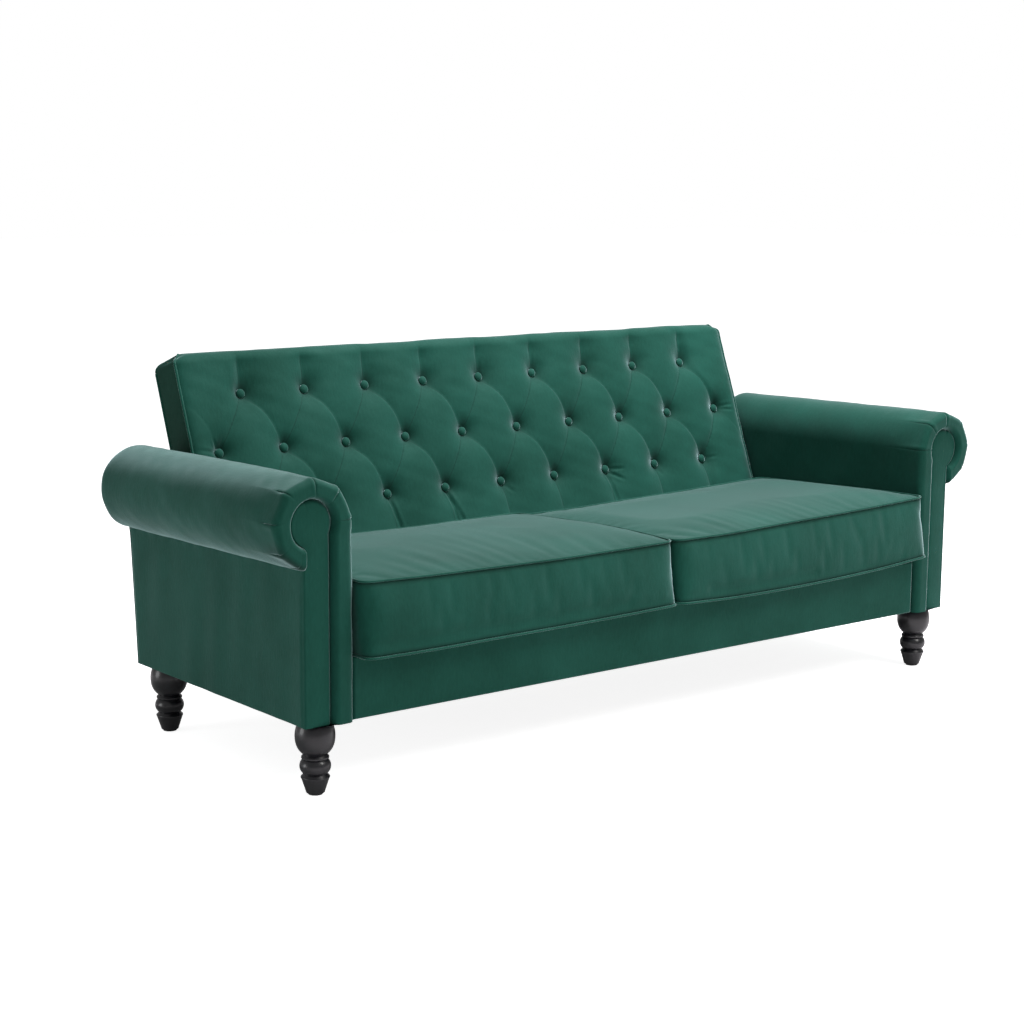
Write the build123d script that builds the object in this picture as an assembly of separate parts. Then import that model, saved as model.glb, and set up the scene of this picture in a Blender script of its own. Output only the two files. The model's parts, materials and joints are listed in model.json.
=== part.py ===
from build123d import *
import os
from math import cos, radians, sin, sqrt, tan

# Futon sofa bed with rolled arms, a tufted back that folds down flat, and turned legs.
# Millimetres. X runs along the seat, Y from the front to the back, Z up from the floor.
# Depths are counted from the front faces of the arms; the last step centres the whole sofa.
# Left is -X, as seen from in front.

# Overall sizes
overall_width = 2100.0
leg_height = 154.0
box_height = 133.0  # from the legs to the underside of the cushions

# Arms
arm_depth = 700.0  # along the floor edge
arm_rise = 510.0  # above the legs, at the front
arm_width = 114.0  # between the inner and the outer face, without the roll's overhang
arm_lean = 4.4  # degrees that the rear end leans back
roll_radius = 94.5
roll_fall = 14.0  # how much lower the roll is at the rear
arm_pad = 15.0  # foam and cover over the inner face and the roll
side_panel = 6.0
end_panel = 6.0
scroll_radius = 50.0
facing_width = 64.0
facing_depth = 12.0
band_proud = 13.0  # how far the gathered band stands in front of the facing
arm_board = 18.0
arm_rail_height = 25.0
roll_rail = (50.0, 60.0)

# Seat box
rail = 25.0  # thickness of the long rails
side_rail = 25.5
centre_rail = 30.0
apron = 12.0
rear_apron = 6.0
rail_foot = 2.0  # the rails start this much above the legs, level with the leg plates
rear_rail_inset = 15.0  # from the rear end of the arms to the rear rail
rear_apron_wrap = 2.0  # how far the rear apron stands above its rail
block = 60.0
spring_count = 8
spring_wire = 4.0
spring_width = 54.0
spring_pitch = 34.0
clip = (22.0, 14.0, 6.0)
deck_drop = 12.0  # top of the rails below the cushions
deck_gap = 0.5  # between the deck and the hinge plates
dust_cover = 1.5

# Cushions
cushion_height = 153.0  # at the front piping
cushion_crown = 12.0
cushion_rear_drop = 8.0
cushion_nose = 58.0  # how far the lower edge stands in front of the arms
cushion_rake = 28.0  # the upper edge lies this much further back
cushion_gap = 3.0
cushion_arm_gap = 4.0
cushion_back_gap = 4.0
cushion_round = 18.0

# Back
recline = 20.5  # degrees from upright, at rest
back_gap = 8.0  # between the back and each arm
back_thickness = 92.0
back_height = 497.0
back_bulge = 12.0  # how far the tufted face stands in front of its side edges
hinge_setback = 93.0  # from the rear end of the arms to the hinge line
hinge_inset = 45.0  # from the back's front edges to the hinge line
hinge_rise = 22.0  # from the back's lower edge to the hinge line
bed_drop = 5.0  # how much lower the flat back lies than the cushion's front edge
sweep_gap = 8.0
frame_rail = 45.0
stile = 25.0
mid_stile = 40.0
border = 8.0
rear_panel = 4.0
webbing = 2.0
web_width = 50.0
web_count = 6
foam = 40.0  # behind the side edges, in front of the webbing
top_cap = 12.0
button_radius = 11.0
button_height = 8.0
button_room = 1.0  # the hollow's floor is this much wider than a button
button_depth = 24.0  # from the crown of the tufting to the buttons' seats
button_side = 74.5  # from the side edge to the end buttons of the middle row
button_top = 104.0  # from the top edge to the upper row
button_pitch_z = 135.5
long_row = 10
tuft_radius = 34.0

# Hinges
plate = 3.5
plate_gap = 1.0
ratchet_radius = 34.0
tooth_radius = 3.0
tooth_count = 5
first_tooth = -135.0  # degrees from +Y, turning towards +Z
tooth_step = 25.0
tongue = (44.0, 190.0)
tongue_screws = (0.35, 0.6, 0.85)  # shares of the tongue's length
pin_radius = 5.0
pawl_pin_radius = 3.0
pin_setback = 0.4  # the pins stop this short of the back's side
lug_radius = 24.0
pawl_lug_radius = 12.0
base_plate_foot = (90.0, 80.0)
base_plate_drop = 45.0  # from the top of the rails to the middle of the foot
running = 0.05  # radial clearance of a turning pin
fit = 0.1  # clearance round screws and bolts
pawl_offset = (33.0, -48.0)  # from the hinge line to the pawl's pin, back and up
pawl_side = 0.5
pawl_boss = 8.0
pawl_nose = (5.0, 1.5)  # behind the hinge line, and clear of the toothed disc
pawl_tail = (14.0, 7.0, 3.0)  # back and up from the pawl's pin, and the radius of its end
screw_radius = 2.4
screw_head = 4.6
screw_length = 24.0
base_screw_length = 20.0
base_screw_depths = (-20.0, 25.0)  # from the hinge line
base_screw_drops = (25.0, 70.0)  # below the top of the rails

# Legs
leg_inset_side = 52.5
leg_inset_front = 46.0
leg_inset_rear = 50.0
glide = (15.0, 3.0)
foot_radius = 19.8
foot_round = 3.0
ring_radius = 30.2
ring_height = 36.5
vase_radius = 31.7
vase_height = 65.5
neck_radius = 24.3
neck_height = 44.0
collar_radius = 28.7
collar_height = 79.0
throat_height = 85.0
bulb_radius = 41.6
bulb_drop = 33.0  # from the top of the leg to the widest part of the bulb
leg_top_radius = 33.2
leg_plate = (60.0, 2.0)
leg_bolt = (4.0, 30.0, 18.0)  # radius, depth into the leg, height into the arm rail
arm_bolt_radius = 4.0
arm_bolt_head = (8.0, 4.0)
arm_bolt_grip = 40.0  # depth into the arm's bottom rail

# Worked out from the sizes above
inner_x = overall_width / 2 - 2 * roll_radius
outer_x = inner_x + arm_width
roll_x = inner_x + roll_radius
roll_z = leg_height + arm_rise - roll_radius
facing_x = outer_x - facing_width
cushion_base = leg_height + box_height
rail_top = cushion_base - deck_drop
rail_base = leg_height + rail_foot
rear_rail_y = arm_depth - rear_rail_inset
plate_x = inner_x - plate
side_rail_x = plate_x - side_rail
hinge_y = arm_depth - hinge_setback
hinge_z = cushion_base + cushion_height - bed_drop - hinge_inset
pawl_y = hinge_y + pawl_offset[0]
pawl_z = hinge_z + pawl_offset[1]
back_half = inner_x - back_gap
back_front = -hinge_inset
back_rear = back_front + back_thickness
back_foot = -hinge_rise
back_top = back_foot + back_height
stile_x = back_half - border
frame_rear = back_rear - rear_panel
web_front = back_front + foam
frame_front = web_front + webbing
rear_rail_top = hinge_z - sqrt(back_rear**2 + hinge_rise**2) - sweep_gap
cushion_rear = hinge_y - sqrt((hinge_inset + back_bulge) ** 2 + hinge_rise**2) - cushion_back_gap
big = 3 * overall_width


# Shapes used by several pieces


def slab(x0, x1, y0, y1, z0, z1):
    return Pos((x0 + x1) / 2, (y0 + y1) / 2, (z0 + z1) / 2) * Box(x1 - x0, y1 - y0, z1 - z0)


def panel(x0, x1, z0, z1):
    return Pos((x0 + x1) / 2, (z0 + z1) / 2) * Rectangle(x1 - x0, z1 - z0)


def rod(x0, x1, y, z, radius):
    # a round bar along X
    return Pos((x0 + x1) / 2, y, z) * Rot(0, 90, 0) * Cylinder(radius, x1 - x0)


def bolt(x, y, z, radius, length, head_radius, head_height):
    # shank along +X from x, with a round head on the other side of x
    return rod(x, x + length, y, z, radius) + rod(x - head_height, x, y, z, head_radius)


def countersunk(x, y, z, length, room=0.0):
    # the flat of the head lies at x and the point looks towards -X; room makes the hole for it
    cone = screw_head - screw_radius
    head = Pos(x - cone / 2, y, z) * Rot(0, 90, 0) * Cone(screw_radius + room, screw_head + room, cone)
    return head + rod(x - length - room, x - cone, y, z, screw_radius + room)


def both(shape):
    return shape, mirror(shape, Plane.YZ)


def pair(shape):
    return Compound(children=list(both(shape)))


def group(shapes):
    return Compound(children=[solid for shape in shapes for solid in shape.solids()])


# Arms, made for the right-hand side and mirrored


def fall_at(y):
    return roll_fall * y / arm_depth


def end_y(z):
    return arm_depth + (z - leg_height) * tan(radians(arm_lean))


def arm_outline():
    return Pos(roll_x, roll_z) * Circle(roll_radius) + panel(inner_x, outer_x, 0, roll_z)


def arm_core():
    hollow = Pos(roll_x, roll_z) * Circle(roll_radius - arm_pad)
    return hollow + panel(inner_x + arm_pad, outer_x - side_panel, 0, roll_z)


def facing_outline():
    return Pos(roll_x, roll_z) * Circle(scroll_radius) + panel(facing_x, outer_x, 0, roll_z)


def side_strip():
    # the outer panel reaches up to the seam under the roll
    reach = outer_x - side_panel - roll_x
    seam = roll_z - sqrt(roll_radius**2 - reach**2)
    return panel(outer_x - side_panel, outer_x, 0, seam)


def arm_prism(profile, y0, y1, foot=leg_height):
    # an arm profile run from y0 to y1, sinking as the roll does, and cut level at its foot
    face = (Plane.XZ * profile).face().moved(Location((0, y0, -fall_at(y0))))
    run = Solid.extrude(face, Vector(0, y1 - y0, fall_at(y0) - fall_at(y1)))
    return run & slab(0, big, -big, big, foot, big)


def end_cut(setback):
    # everything in front of the leaning rear end, less the setback
    outline = Polyline(
        (-big, 0), (end_y(0) - setback, 0), (end_y(big) - setback, big), (-big, big), close=True
    )
    return extrude(Plane.YZ * make_face(outline), big)


def arm_run(profile, y0, setback, foot=leg_height):
    beyond = arm_depth + arm_rise
    return arm_prism(profile, y0, beyond, foot) & end_cut(setback)


def end_board(profile, setback, thickness, foot=leg_height):
    return arm_run(profile, arm_depth / 2, setback, foot) - end_cut(setback + thickness)


def leg_places():
    x = outer_x - leg_inset_side
    return (x, leg_inset_front), (x, arm_depth - leg_inset_rear)


def arm_bolt_places():
    z = rail_base + arm_rail_height / 2
    front = leg_inset_front + block + rail
    rear = arm_depth - leg_inset_rear - block - rail
    return (front, z), (rear, z)


def arm_bolts():
    length = inner_x + arm_pad + arm_bolt_grip - side_rail_x
    sizes = (arm_bolt_radius, length, *arm_bolt_head)
    return [bolt(side_rail_x, y, z, *sizes) for y, z in arm_bolt_places()]


def arm_bolt_holes():
    start = side_rail_x - fit
    end = inner_x + arm_pad + arm_bolt_grip + fit
    return group([rod(start, end, y, z, arm_bolt_radius + fit) for y, z in arm_bolt_places()])


def leg_bolt_holes():
    radius, down, up = leg_bolt
    tall = down + up + leg_plate[1] + 2 * fit
    middle = leg_height + (up + leg_plate[1] - down) / 2
    return group([Pos(x, y, middle) * Cylinder(radius + fit, tall) for x, y in leg_places()])


def make_arm_pad():
    shell = arm_outline() - arm_core() - side_strip()
    return arm_run(shell, facing_depth, end_panel) - arm_bolt_holes()


def make_arm_band():
    ring = arm_outline() - facing_outline()
    body = arm_prism(ring, -band_proud, facing_depth)
    outer = [e for e in body.edges().filter_by(GeomType.CIRCLE) if abs(e.radius - roll_radius) < 0.01]
    front = [e for e in outer if abs(e.center().Y + band_proud) < 1]
    return fillet(front, band_proud) if front else body


def make_arm_bottom_rail():
    level = (rail_base, rail_base + arm_rail_height)
    run = slab(inner_x + arm_pad, outer_x - side_panel, facing_depth + arm_board, big, *level)
    return (run & end_cut(end_panel + arm_board)) - arm_bolt_holes() - leg_bolt_holes()


def make_arm_top_rail():
    width, height = roll_rail
    z = roll_z - roll_fall / 2
    across = (roll_x - width / 2, roll_x + width / 2)
    run = slab(*across, facing_depth + arm_board, big, z - height / 2, z + height / 2)
    return run & end_cut(end_panel + arm_board)


def arm_pieces():
    return {
        "arm_pad": make_arm_pad(),
        "arm_side_panel": arm_run(side_strip(), facing_depth, end_panel),
        "arm_front_band": make_arm_band(),
        "arm_facing": arm_prism(facing_outline(), 0, facing_depth),
        "arm_front_board": arm_prism(arm_core(), facing_depth, facing_depth + arm_board, rail_base),
        "arm_rear_board": end_board(arm_core(), end_panel, arm_board, rail_base),
        "arm_end_panel": end_board(arm_outline(), 0, end_panel),
        "arm_bottom_rail": make_arm_bottom_rail(),
        "arm_top_rail": make_arm_top_rail(),
    }


# Legs


def make_leg(x, y):
    # turned profile from the foot up: taper, ring, vase, collar, then the bulb below the arm
    foot = glide[1]
    bulb_height = leg_height - bulb_drop
    foot_flat = (foot_radius - foot_round, foot)
    foot_edge = (foot_radius, foot + foot_round)
    ring_low = (ring_radius - 1, ring_height - 2)
    ring_high = (ring_radius - 1.5, ring_height + 2.5)
    neck = (neck_radius, neck_height)
    shoulder = (collar_radius - 3, collar_height - 4)
    collar_low = (collar_radius, collar_height - 2)
    collar_high = (collar_radius, collar_height + 1)
    throat = (neck_radius, throat_height)
    top = (leg_top_radius, leg_height)
    lines = [
        Line((0, foot), foot_flat),
        RadiusArc(foot_flat, foot_edge, -foot_round),
        Line(foot_edge, ring_low),
        ThreePointArc(ring_low, (ring_radius, ring_height), ring_high),
        Line(ring_high, neck),
        ThreePointArc(neck, (vase_radius, vase_height), shoulder),
        Line(shoulder, collar_low),
        Line(collar_low, collar_high),
        Line(collar_high, throat),
        Spline(throat, (bulb_radius, bulb_height), top, tangents=[(1.0, 0.7), (-0.6, 1.0)]),
        Line(top, (0, leg_height)),
        Line((0, leg_height), (0, foot)),
    ]
    turned = revolve(Plane.XZ * make_face(lines), Axis.Z)
    radius, down, _ = leg_bolt
    hole = Pos(0, 0, leg_height - down / 2) * Cylinder(radius + fit, down + fit)
    return Pos(x, y, 0) * (turned - hole)


def leg_pieces():
    front, rear = leg_places()
    right_front, left_front = both(make_leg(*front))
    right_rear, left_rear = both(make_leg(*rear))
    return {
        "front_left_leg": left_front,
        "front_right_leg": right_front,
        "rear_left_leg": left_rear,
        "rear_right_leg": right_rear,
    }


def leg_fittings():
    side, thick = leg_plate
    radius, down, up = leg_bolt
    tall = down + thick + up
    plates = []
    bolts = []
    glides = []
    for x, y in leg_places():
        square = Pos(x, y, leg_height + thick / 2) * Box(side, side, thick)
        plates.append(square - leg_bolt_holes())
        bolts.append(Pos(x, y, leg_height - down + tall / 2) * Cylinder(radius, tall))
        glides.append(Pos(x, y, glide[1] / 2) * Cylinder(*glide))
    return {
        "leg_plates": pair(group(plates)),
        "leg_bolts": pair(group(bolts)),
        "leg_glides": pair(group(glides)),
    }


# Seat box


def make_side_rail():
    run = slab(side_rail_x, plate_x, apron + rail, rear_rail_y - rail, rail_base, rail_top)
    return run - arm_bolt_holes() - group(base_screws(room=fit))


def make_rear_rail():
    return slab(-inner_x, inner_x, rear_rail_y - rail, rear_rail_y, rail_base, rear_rail_top)


def make_corner_blocks():
    blocks = []
    for y, way in ((apron + rail, 1), (rear_rail_y - rail, -1)):
        corner = Polyline(
            (side_rail_x, y), (side_rail_x - block, y), (side_rail_x, y + way * block), close=True
        )
        middle = (rail_base + rail_top) / 2
        blocks.append(Pos(0, 0, middle - block / 2) * extrude(make_face(corner), block, dir=(0, 0, 1)))
    return pair(group(blocks))


def spring_places():
    step = 2 * side_rail_x / spring_count
    return [-side_rail_x + step * (i + 0.5) for i in range(spring_count)]


def spring_ends():
    return apron + rail / 2, rear_rail_y - rail - clip[1] / 2


def make_spring():
    # square wire bent to and fro across Y, ending in straight bars that the clips hold
    first, last = spring_ends()
    turns = 2 * round((last - first) / spring_pitch / 2) + 1
    pitch = (last - first) / turns
    half = spring_width / 2
    points = []
    for i in range(turns + 1):
        side = half if i % 2 else -half
        points += [(side, first + pitch * i), (-side, first + pitch * i)]
    path = FilletPolyline(*points, radius=pitch / 2 - 1)
    return extrude(trace(path, spring_wire), spring_wire / 2, both=True)


def make_springs():
    spring = Pos(0, 0, rail_top + fit + spring_wire / 2) * make_spring()
    return group([Pos(x, 0, 0) * spring for x in spring_places()])


def make_clips():
    # folded steel saddles: on top of the front rail, and on the inner face of the rear rail
    width, depth, _ = clip
    room = spring_wire / 2 + fit
    z = rail_top + room
    clips = []
    for x in spring_places():
        for y in spring_ends():
            across = (x - width / 2, x + width / 2)
            saddle = slab(*across, y - depth / 2, y + depth / 2, z - room, z + clip[2] / 2)
            clips.append(saddle - Pos(x, y, z) * Box(2 * width, 2 * room, 2 * room))
    return group(clips)


def make_deck():
    low = rail_top + fit + spring_wire / 2 + clip[2] / 2
    half = plate_x - deck_gap
    return slab(-half, half, apron, rear_rail_y - rail, low, cushion_base)


def make_apron():
    wide = inner_x - cushion_gap
    cover = slab(-wide, wide, 0, apron, leg_height, cushion_base)
    front = cover.faces().sort_by(Axis.Y)[0]
    return fillet(front.edges(), apron / 2)


def make_cushion():
    x0 = cushion_gap / 2
    x1 = inner_x - cushion_arm_gap
    top = cushion_base + cushion_height
    rear = top - cushion_rear_drop
    nose = (-cushion_nose, cushion_base)
    brow = (cushion_rake - cushion_nose, top)
    heel = (cushion_rear, rear)
    crown = ((brow[0] + heel[0]) / 2, top + cushion_crown)
    outline = [
        Line(nose, brow),
        ThreePointArc(brow, crown, heel),
        Line(heel, (cushion_rear, cushion_base)),
        Line((cushion_rear, cushion_base), nose),
    ]
    body = Pos(x0, 0, 0) * extrude(Plane.YZ * make_face(outline), x1 - x0)
    return fillet(body.edges(), cushion_round)


def make_rear_apron():
    top = rear_rail_top + rear_apron_wrap
    return slab(-inner_x, inner_x, rear_rail_y, rear_rail_y + rear_apron, leg_height, top)


def make_centre_rail():
    half = centre_rail / 2
    return slab(-half, half, apron + rail, rear_rail_y - rail, rail_base, rail_top - block / 2)


def seat_pieces():
    left_cushion, right_cushion = reversed(both(make_cushion()))
    left_rail, right_rail = reversed(both(make_side_rail()))
    return {
        "front_rail": slab(-inner_x, inner_x, apron, apron + rail, rail_base, rail_top),
        "rear_rail": make_rear_rail(),
        "left_side_rail": left_rail,
        "right_side_rail": right_rail,
        "centre_rail": make_centre_rail(),
        "corner_blocks": make_corner_blocks(),
        "seat_springs": make_springs(),
        "spring_clips": make_clips(),
        "seat_deck": make_deck(),
        "left_seat_cushion": left_cushion,
        "right_seat_cushion": right_cushion,
        "front_apron": make_apron(),
        "rear_apron": make_rear_apron(),
        "dust_cover": slab(
            -inner_x, inner_x, apron, rear_rail_y, rail_base - dust_cover, rail_base
        ),
        "arm_bolts": pair(group(arm_bolts())),
    }


# Back, drawn upright about its hinge line, with X along the hinge and Y to the rear


def on_back(shape):
    return Pos(0, hinge_y, hinge_z) * Rot(-recline, 0, 0) * shape


def button_places():
    # staggered rows, the middle one longer by one
    pitch = 2 * (back_half - button_side) / (long_row - 1)
    places = []
    for row in range(3):
        count = long_row - 1 + row % 2
        z = back_top - button_top - button_pitch_z * row
        places += [(pitch * (i - (count - 1) / 2), z) for i in range(count)]
    return places


def make_back_pad():
    # a block over the frame's front and top, rounded in front, with a hollow for each button
    crown = back_front - back_bulge
    front = slab(-stile_x, stile_x, crown, web_front, back_foot, back_top - top_cap)
    cap = slab(-stile_x, stile_x, crown, frame_rear, back_top - top_cap, back_top)
    body = front + cap
    rim = body.faces().sort_by(Axis.Y)[0].edges()
    body = fillet(rim, back_bulge)
    hollow = Rot(90, 0, 0) * Cone(button_radius + button_room, tuft_radius, button_depth)
    middle = crown + button_depth / 2
    return body - group([Pos(x, middle, z) * hollow for x, z in button_places()])


def make_button():
    seat = back_front - back_bulge + button_depth
    drum = Rot(90, 0, 0) * Cylinder(button_radius, button_height)
    dome = Sphere(button_radius**2 / button_height)
    middle = button_radius**2 / button_height - button_height / 2
    return Pos(0, seat - button_height / 2, 0) * (drum & Pos(0, middle, 0) * dome)


def make_buttons():
    button = make_button()
    return group([Pos(x, 0, z) * button for x, z in button_places()])


def make_border():
    strip = slab(stile_x, back_half, back_front, back_rear, back_foot, back_top)
    return strip - group(back_screws(room=fit))


def frame_bar(x0, x1, z0, z1):
    return slab(x0, x1, frame_front, frame_rear, z0, z1)


def make_end_stile():
    body = frame_bar(stile_x - stile, stile_x, back_foot, back_top - top_cap)
    return body - group(back_screws(room=fit))


def make_mid_stiles():
    x = stile_x / 3
    low = back_foot + frame_rail
    high = back_top - top_cap - frame_rail
    return pair(frame_bar(x - mid_stile / 2, x + mid_stile / 2, low, high))


def make_webbing():
    # straps level with each row of buttons and half way between the rows
    low = back_foot + web_width / 2
    high = back_top - top_cap - web_width / 2
    step = (high - low) / (web_count - 1)
    levels = [low + step * i for i in range(web_count)]
    strap = Box(2 * stile_x, webbing, web_width)
    return group([Pos(0, web_front + webbing / 2, z) * strap for z in levels])


def back_pieces():
    inside = stile_x - stile
    top = back_top - top_cap
    left_border, right_border = reversed(both(make_border()))
    left_stile, right_stile = reversed(both(make_end_stile()))
    left_plate, right_plate = reversed(both(make_back_plate()))
    pieces = {
        "back_pad": make_back_pad(),
        "back_buttons": make_buttons(),
        "back_left_border": left_border,
        "back_right_border": right_border,
        "back_rear_panel": slab(-stile_x, stile_x, frame_rear, back_rear, back_foot, back_top),
        "back_top_rail": frame_bar(-inside, inside, top - frame_rail, top),
        "back_bottom_rail": frame_bar(-inside, inside, back_foot, back_foot + frame_rail),
        "back_left_stile": left_stile,
        "back_right_stile": right_stile,
        "back_middle_stiles": make_mid_stiles(),
        "back_webbing": make_webbing(),
        "left_hinge_back_plate": left_plate,
        "right_hinge_back_plate": right_plate,
        "hinge_back_screws": pair(group(back_screws())),
    }
    return {name: on_back(shape) for name, shape in pieces.items()}


# Hinges, right-hand side, mirrored for the left


def disc(y, z, radius):
    return Pos(y, z) * Circle(radius)


def back_screws(room=0.0):
    x = back_half + plate
    heights = [tongue[1] * share for share in tongue_screws]
    return [countersunk(x, 0, z, screw_length, room) for z in heights]


def make_back_plate():
    # a tongue up the side of the back, and a toothed disc about the hinge pin
    width, length = tongue
    outline = disc(0, 0, ratchet_radius) + Pos(0, length / 2) * Rectangle(width, length)
    for tooth in range(tooth_count):
        angle = radians(first_tooth + tooth_step * tooth)
        at = (ratchet_radius * cos(angle), ratchet_radius * sin(angle))
        outline -= disc(*at, tooth_radius)
    outline -= disc(0, 0, pin_radius + running)
    solid = Pos(back_half, 0, 0) * extrude(Plane.YZ * outline, plate)
    return solid - group(back_screws(room=fit))


def base_screws(room=0.0):
    at = [(hinge_y + y, rail_top - drop) for drop in base_screw_drops for y in base_screw_depths]
    return [countersunk(inner_x, y, z, base_screw_length, room) for y, z in at]


def make_base_plate():
    # screwed to the side rail, with a lug up to the hinge pin and another to the pawl's pin
    foot = Pos(hinge_y, rail_top - base_plate_drop) * Rectangle(*base_plate_foot)
    lugs = disc(hinge_y, hinge_z, lug_radius) + disc(pawl_y, pawl_z, pawl_lug_radius) + foot
    outline = make_hull(lugs.edges())
    outline -= disc(hinge_y, hinge_z, pin_radius)
    outline -= disc(pawl_y, pawl_z, pawl_pin_radius)
    solid = Pos(plate_x, 0, 0) * extrude(Plane.YZ * outline, plate)
    return solid - group(base_screws(room=fit))


def make_pawl():
    # a short lever whose nose points at the teeth
    nose_y, nose_clear = pawl_nose
    tail_y, tail_z, tail_radius = pawl_tail
    nose = disc(hinge_y + nose_y, hinge_z - ratchet_radius - tooth_radius - nose_clear, tooth_radius)
    boss = disc(pawl_y, pawl_z, pawl_boss)
    tail = disc(pawl_y + tail_y, pawl_z + tail_z, tail_radius)
    outline = make_hull((nose + boss).edges()) + make_hull((boss + tail).edges())
    outline -= disc(pawl_y, pawl_z, pawl_pin_radius + running)
    thick = plate - pawl_side
    return Pos(back_half + pawl_side, 0, 0) * extrude(Plane.YZ * outline, thick)


def hinge_pieces():
    left_base, right_base = reversed(both(make_base_plate()))
    left_pawl, right_pawl = reversed(both(make_pawl()))
    start = back_half + pin_setback
    pin = rod(start, inner_x, hinge_y, hinge_z, pin_radius)
    pawl_pin = rod(start, inner_x, pawl_y, pawl_z, pawl_pin_radius)
    return {
        "left_hinge_base_plate": left_base,
        "right_hinge_base_plate": right_base,
        "hinge_base_screws": pair(group(base_screws())),
        "hinge_pins": pair(group([pin, pawl_pin])),
        "left_pawl": left_pawl,
        "right_pawl": right_pawl,
    }


def all_pieces():
    pieces = {}
    for name, shape in arm_pieces().items():
        right, left = both(shape)
        pieces["left_" + name] = left
        pieces["right_" + name] = right
    pieces.update(leg_pieces())
    pieces.update(leg_fittings())
    pieces.update(seat_pieces())
    pieces.update(back_pieces())
    pieces.update(hinge_pieces())
    return pieces


def centring(pieces):
    # how far to move the sofa along Y so that its overall box is centred
    boxes = [shape.bounding_box() for shape in pieces.values()]
    return -(min(b.min.Y for b in boxes) + max(b.max.Y for b in boxes)) / 2


pieces = all_pieces()
shift = centring(pieces)
os.makedirs("parts", exist_ok=True)
for name, shape in pieces.items():
    export_step(Pos(0, shift, 0) * shape, "parts/" + name + ".step")
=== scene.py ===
import json
import bpy
import bmesh
import numpy as np
from mathutils import Matrix, Vector


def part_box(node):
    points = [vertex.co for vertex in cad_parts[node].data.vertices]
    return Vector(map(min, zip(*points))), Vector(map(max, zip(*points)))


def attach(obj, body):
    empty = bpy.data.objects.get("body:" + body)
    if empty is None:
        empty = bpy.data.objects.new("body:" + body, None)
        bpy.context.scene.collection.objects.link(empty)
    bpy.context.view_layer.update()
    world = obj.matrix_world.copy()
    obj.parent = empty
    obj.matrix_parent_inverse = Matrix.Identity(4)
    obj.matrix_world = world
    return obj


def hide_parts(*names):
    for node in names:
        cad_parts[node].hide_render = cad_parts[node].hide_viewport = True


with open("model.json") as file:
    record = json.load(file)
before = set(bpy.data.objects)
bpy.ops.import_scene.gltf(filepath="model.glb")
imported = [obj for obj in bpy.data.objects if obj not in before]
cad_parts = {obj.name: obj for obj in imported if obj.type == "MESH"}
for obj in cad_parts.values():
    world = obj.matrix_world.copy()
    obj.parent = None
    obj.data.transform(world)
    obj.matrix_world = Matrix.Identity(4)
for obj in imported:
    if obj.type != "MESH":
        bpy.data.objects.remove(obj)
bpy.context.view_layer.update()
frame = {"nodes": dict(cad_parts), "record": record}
print("frame loaded:", len(frame["nodes"]), "nodes")


def nodeBox(node):
    # lowest and highest corner of one of the frame's pieces
    low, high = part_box(node)
    return np.array(low), np.array(high)


def smooth(t):
    # eases from 0 to 1: three times the square less twice the cube, flat beyond both ends
    t = np.clip(t, 0, 1)
    return t * t * (3 - 2 * t)


def bell(distance, width):
    # 1 in the middle and dying away: e to the power of minus the squared distance over the width
    return np.exp(-((distance / width) ** 2))


def ripple(a, b, size, seed, waves=7):
    # sum of plane waves in random directions, about one wavelength per size, between -1 and 1
    rng = np.random.default_rng(seed)
    turns, phases = rng.uniform(0, np.pi, waves), rng.uniform(0, 7, waves)
    counts = 2 * np.pi / (size * rng.uniform(0.7, 1.5, waves))
    total = 0
    for turn, phase, count in zip(turns, phases, counts):
        total = total + np.sin(count * (a * np.cos(turn) + b * np.sin(turn)) + phase)
    return total / waves**0.5 / 1.5


def closeSteps(count, *closer):
    # even steps from 0 to 1, with more of them in each closer stretch: from, to, how many
    return np.unique(np.concatenate([np.linspace(0, 1, count)] + [np.linspace(*stretch) for stretch in closer]))


def fromRim(u, v, wide, tall):
    # distance of each point of a flat panel from its nearest edge
    return np.minimum(np.minimum(u, 1 - u) * wide, np.minimum(v, 1 - v) * tall)


def between(first, second, share):
    # rows of points from one line to another, each its share of the way across
    share = np.asarray(share)[None, :, None]
    return first[:, None] * (1 - share) + second[:, None] * share


def pointsAt(*parts):
    # a line or grid of points from one array for each direction: a number, a row, a column or a whole grid
    return np.stack(np.broadcast_arrays(*parts), -1)


def lengthAlong(line):
    # the running length of a line from its first point
    return np.concatenate([[0], np.cumsum(np.linalg.norm(np.diff(line, axis=0), axis=1))])


def gridFaces(n, m, wrapU=False, wrapV=False, flip=False, start=0):
    # four-sided faces between neighbours on a grid whose points are numbered row by row
    i = np.arange(n if wrapU else n - 1)[:, None]
    j = np.arange(m if wrapV else m - 1)[None, :]
    nextI, nextJ = (i + 1) % n, (j + 1) % m
    quads = np.stack([i * m + j, nextI * m + j, nextI * m + nextJ, i * m + nextJ], axis=-1).reshape(-1, 4)
    return (quads[:, ::-1] if flip else quads) + start


def mark(mesh, label, values):
    # one number at each point of a mesh, for its material to read
    layer = mesh.attributes.get(label) or mesh.attributes.new(label, "FLOAT", "POINT")
    layer.data.foreach_set("value", np.asarray(values, np.float32).ravel())


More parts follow.
